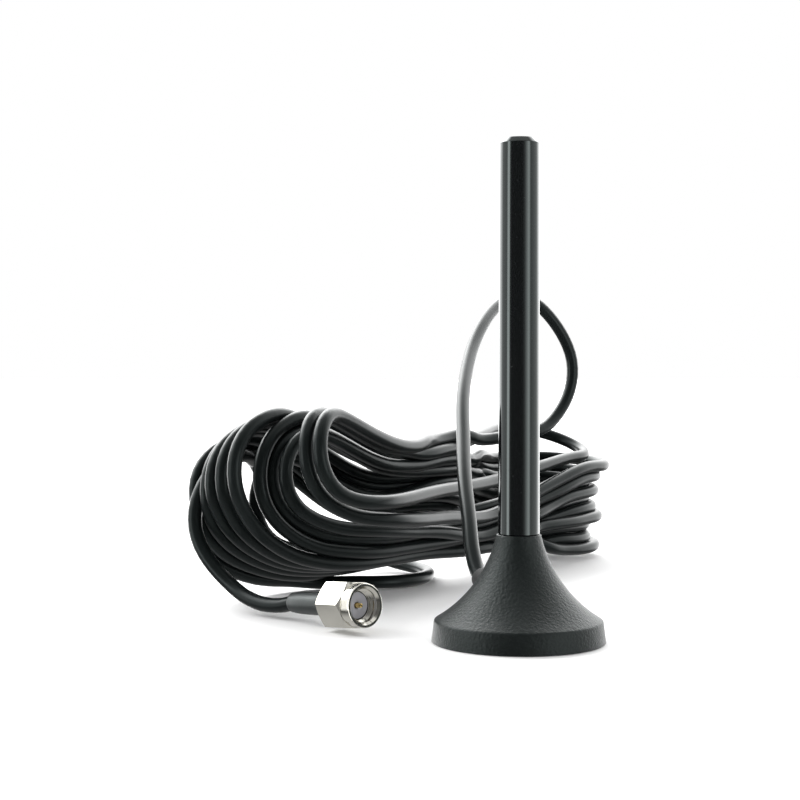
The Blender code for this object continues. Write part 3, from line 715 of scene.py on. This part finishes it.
def through(knots, steps=16):
    """A centripetal Catmull-Rom curve through the knots."""
    ends = np.vstack([2 * knots[0] - knots[1], knots, 2 * knots[-1] - knots[-2]])
    line = []
    for p0, p1, p2, p3 in zip(ends, ends[1:], ends[2:], ends[3:]):
        t1 = np.linalg.norm(p1 - p0) ** 0.5
        t2 = t1 + np.linalg.norm(p2 - p1) ** 0.5
        t3 = t2 + np.linalg.norm(p3 - p2) ** 0.5
        for t in np.linspace(t1, t2, steps, endpoint=False):
            a1 = p0 * (t1 - t) / t1 + p1 * t / t1
            a2 = p1 * (t2 - t) / (t2 - t1) + p2 * (t - t1) / (t2 - t1)
            a3 = p2 * (t3 - t) / (t3 - t2) + p3 * (t - t2) / (t3 - t2)
            b1 = a1 * (t2 - t) / t2 + a2 * t / t2
            b2 = a2 * (t3 - t) / (t3 - t1) + a3 * (t - t1) / (t3 - t1)
            line.append(b1 * (t2 - t) / (t2 - t1) + b2 * (t - t1) / (t2 - t1))
    line.append(knots[-1])
    return np.array(line)


def measured(line):
    """How far along the line each of its points lies."""
    return np.concatenate([[0.0], np.cumsum(np.linalg.norm(np.diff(line, axis=0), axis=1))])


def spaced(line, step):
    """The line again, with points one step apart."""
    along = measured(line)
    at = np.linspace(0.0, along[-1], int(along[-1] / step))
    return np.stack([np.interp(at, along, line[:, axis]) for axis in range(3)], axis=1)


def settle(line, held, rounds=300):
    """Let the coax settle: it keeps its length, resists bending, and rests on itself and the floor."""
    towards_route, against_bends, against_kinks = 0.02, 0.16, 0.22
    thick = 2 * CABLE_R / MM
    place = line.copy()
    rest = np.linalg.norm(np.diff(place, axis=0), axis=1)
    free = np.where(held, 0.0, 1.0)[:, None]
    apart = math.ceil(3 * thick / rest.mean())
    sharpest = rest.mean() ** 2 / (2 * TIGHTEST)
    for turn in range(rounds):
        curve = np.zeros_like(place)
        curve[1:-1] = (place[:-2] + place[2:]) / 2 - place[1:-1]
        stiff = np.zeros_like(place)
        stiff[2:-2] = (curve[1:-3] + curve[3:-1]) / 2 - curve[2:-2]
        size = np.linalg.norm(curve, axis=1)
        kink = curve * (np.maximum(size - sharpest, 0.0) / np.maximum(size, 1e-9))[:, None]
        kink[1:-1] = kink[1:-1] - (kink[:-2] + kink[2:]) / 2
        pull = np.where(size > 0.85 * sharpest, 0.0, towards_route)[:, None]
        place += (pull * (line - place) - against_bends * stiff + against_kinks * kink) * free
        if turn % 10 == 0:
            gap = ((place[:, None, :] - place[None, :, :]) ** 2).sum(-1)
            one, two = np.nonzero(gap < (1.8 * thick) ** 2)
            far = two - one > apart
            one, two = one[far], two[far]
        for _ in range(3):
            way = place[two] - place[one]
            size = np.linalg.norm(way, axis=1)
            hit = size < thick
            push = way[hit] / size[hit][:, None] * ((thick - size[hit]) * 0.375)[:, None]
            total = np.zeros_like(place)
            count = np.ones(len(place))
            np.add.at(total, one[hit], -push)
            np.add.at(total, two[hit], push)
            np.add.at(count, one[hit], 1)
            np.add.at(count, two[hit], 1)
            place += total / np.maximum(count - 1, 1)[:, None] ** 0.5 * free
            place[:, 2] = np.maximum(place[:, 2], thick / 2)
        for _ in range(2):
            way = np.diff(place, axis=0)
            size = np.linalg.norm(way, axis=1)
            share = np.maximum(free[:-1] + free[1:], 1.0)
            fix = way * ((size - rest) / size * 0.8)[:, None] / share
            place[:-1] += fix * free[:-1]
            place[1:] -= fix * free[1:]
    return place


def make_coax(material):
    """The whole lead, from the gland through the hank to the plug, and its centreline."""
    start_point = np.array(gland_mouth() + GLAND_AXIS * 0.1 * MM) / MM
    gland_end = np.array(gland_mouth() + GLAND_AXIS * 4.3 * MM) / MM
    lead = [start_point, gland_end] + [np.array(point) for point in LEAD_ROUTE]
    plug_end = [np.array(PLUG_MOUTH + PLUG_AXIS * back(distance)) / MM for distance in (20.5, 14.9)]
    tail = [np.array(point) for point in reversed(TAIL_ROUTE)] + plug_end
    line = spaced(through(np.array(lead + hank_knots(lead[-1]) + tail)), STEP)
    end = measured(through(np.array(tail)))[-1]
    along = measured(line)
    held = (along < GLAND_HOLD) | (along > along[-1] - end)
    line = settle(line, held)
    curve = bpy.data.curves.new("coax", "CURVE")
    curve.dimensions = "3D"
    curve.bevel_depth = CABLE_R
    curve.bevel_resolution = 5
    curve.use_fill_caps = True
    spline = curve.splines.new("POLY")
    spline.points.add(len(line) - 1)
    for point, place in zip(spline.points, line * MM):
        point.co = (*place, 1.0)
    coax = bpy.data.objects.new("coax", curve)
    bpy.context.collection.objects.link(coax)
    dress(coax, material, "root", "jacket", "cable_lead", "cable_hank", "cable_tail")
    return coax, line * MM


# ---------------------------------------------------------------- stage

def make_floor():
    let_go()
    bpy.ops.mesh.primitive_plane_add(size=6.0, location=(0.0, 0.0, 0.0))
    floor = start("floor")
    f = Finish("floor_paper", (0.86, 0.86, 0.86), 0.8)
    fibre = f.noise(40.0, 3.0)
    f.set(**{
        "Base Color": f.shades(fibre, (0.85, 0.85, 0.85), (0.87, 0.87, 0.87)),
        "Roughness": 0.75 + fibre * 0.1,
    })
    floor.data.materials.append(f.material)
    floor.visible_glossy = False


# What the studio's walls give, by the bearing from the side that the camera stands on, in degrees
LOW_WALLS = [
    (-180, 3.0), (-140, 4.2), (-122, 3.6), (-112, 1.4), (-77, 1.3), (-73, 6.0), (-62, 6.0),
    (-58, 0.6), (-48, 0.1), (0, 0.08), (17, 0.15), (28, 0.7), (40, 2.7), (51, 5.0),
    (57, 4.0), (63, 1.0), (95, 1.4), (112, 1.6), (124, 3.4), (150, 3.6), (180, 3.0),
]
HIGH_WALLS = [
    (-180, 8.0), (-140, 10.0), (-115, 7.0), (-70, 2.0), (-45, 0.3), (0, 0.05), (40, 0.2),
    (70, 1.0), (125, 2.4), (155, 6.0), (180, 8.0),
]
# How much of either wall there is, and what the ceiling and the table give, by the height of the look
LOW_ZONE = [(-1.0, 0.0), (-0.35, 0.0), (-0.2, 1.0), (0.28, 1.0), (0.4, 0.0), (1.0, 0.0)]
HIGH_ZONE = [(0.0, 0.0), (0.28, 0.0), (0.4, 1.0), (0.72, 1.0), (0.88, 0.0), (1.0, 0.0)]
TOP_AND_TABLE = [
    (-1.0, 0.6), (-0.6, 0.6), (-0.35, 0.03), (0.7, 0.03), (0.84, 0.2), (0.9, 1.0), (1.0, 1.0),
]


def make_studio():
    """Softboxes round the object and one above it, all in the world. The camera itself sees white."""
    world = bpy.data.worlds.new("studio")
    bpy.context.scene.world = world
    world.use_nodes = True
    world.node_tree.nodes.clear()
    n = Nodes(world.node_tree)
    way = n.node("TexCoord", output="Generated")
    x, y, z = [n.node("SeparateXYZ", output=axis, Vector=way) for axis in "XYZ"]
    bearing = x.maths("ARCTAN2", x, 0.0 - y) * (1 / math.tau) + 0.5
    height = z * 0.5 + 0.5
    low = n.levels(bearing, [(degrees / 360 + 0.5, level) for degrees, level in LOW_WALLS], 7.0)
    high = n.levels(bearing, [(degrees / 360 + 0.5, level) for degrees, level in HIGH_WALLS], 10.0)
    low_zone = n.levels(height, [(place / 2 + 0.5, share) for place, share in LOW_ZONE], 1.0)
    high_zone = n.levels(height, [(place / 2 + 0.5, share) for place, share in HIGH_ZONE], 1.0)
    caps = n.levels(height, [(place / 2 + 0.5, level) for place, level in TOP_AND_TABLE], 4.0)
    light = low * low_zone + high * high_zone + caps
    around = n.node("Background", Color=(1.0, 1.0, 1.0, 1.0), Strength=light)
    seen = n.node("Background", Color=(1.0, 1.0, 1.0, 1.0), Strength=1.0)
    to_camera = n.node("LightPath", output="Is Camera Ray")
    mixed = n.node("MixShader", _0=to_camera, _1=around, _2=seen)
    n.node("OutputWorld", Surface=mixed)


def make_camera():
    camera = bpy.data.cameras.new("camera")
    camera.lens = 73.9
    camera.sensor_width = 36.0
    camera.clip_start = 0.01
    stand = bpy.data.objects.new("camera", camera)
    stand.location = (-0.02034, -0.2806, 0.0491)
    stand.rotation_euler = (math.radians(90.0 - 1.57), 0.0, 0.0)
    bpy.context.collection.objects.link(stand)
    bpy.context.scene.camera = stand
    bpy.context.scene.view_settings.view_transform = "Standard"
    bpy.context.scene.view_settings.look = "None"


def main():
    make_camera()
    cone, mast, jacket, shrink = cone_plastic(), mast_plastic(), jacket_plastic(), shrink_plastic()
    nickel = metal("nickel", (0.70, 0.685, 0.62), 0.16)
    gold = metal("gold", (0.95, 0.70, 0.28), 0.22)
    ptfe = insulator_plastic("grey_insulator", (0.42, 0.42, 0.45))
    pad_rubber = rubber("pad_rubber", (0.018, 0.018, 0.018))
    gland_rubber = rubber("gland_rubber", (0.012, 0.013, 0.013), 900.0)
    inside = {
        "plated_steel": metal("plated_steel", (0.60, 0.60, 0.62), 0.3),
        "magnet": metal("magnet", (0.42, 0.42, 0.44), 0.25),
        "brass": metal("brass", (0.72, 0.55, 0.25), 0.3),
        "copper": metal("copper", (0.80, 0.42, 0.28), 0.3),
        "nickel": nickel, "gold": gold, "insulator": ptfe,
        "silicone": rubber("silicone", (0.012, 0.012, 0.012)),
        "shell_plastic": cone, "mast_plastic": mast, "jacket": jacket, "shrink": shrink,
        "pad_rubber": pad_rubber, "gland_rubber": gland_rubber,
    }
    for entry in frame["record"]["subparts"]:
        piece = frame["nodes"][entry["node"]]
        piece.data.materials.clear()
        piece.data.materials.append(inside[entry["material_slot"]])
    make_cone(cone)
    make_mast(mast)
    make_pad(pad_rubber)
    gland = make_gland(gland_rubber)
    nut = make_nut(nickel)
    thread = make_thread(nickel)
    shell, disc, pin = make_plug_inside(nickel, gold, ptfe)
    sleeve = make_shrink(shrink)
    coax, line = make_coax(jacket)
    length = float(measured(line)[-1])
    make_floor()
    make_studio()
    print("coax", round(length, 3))


main()
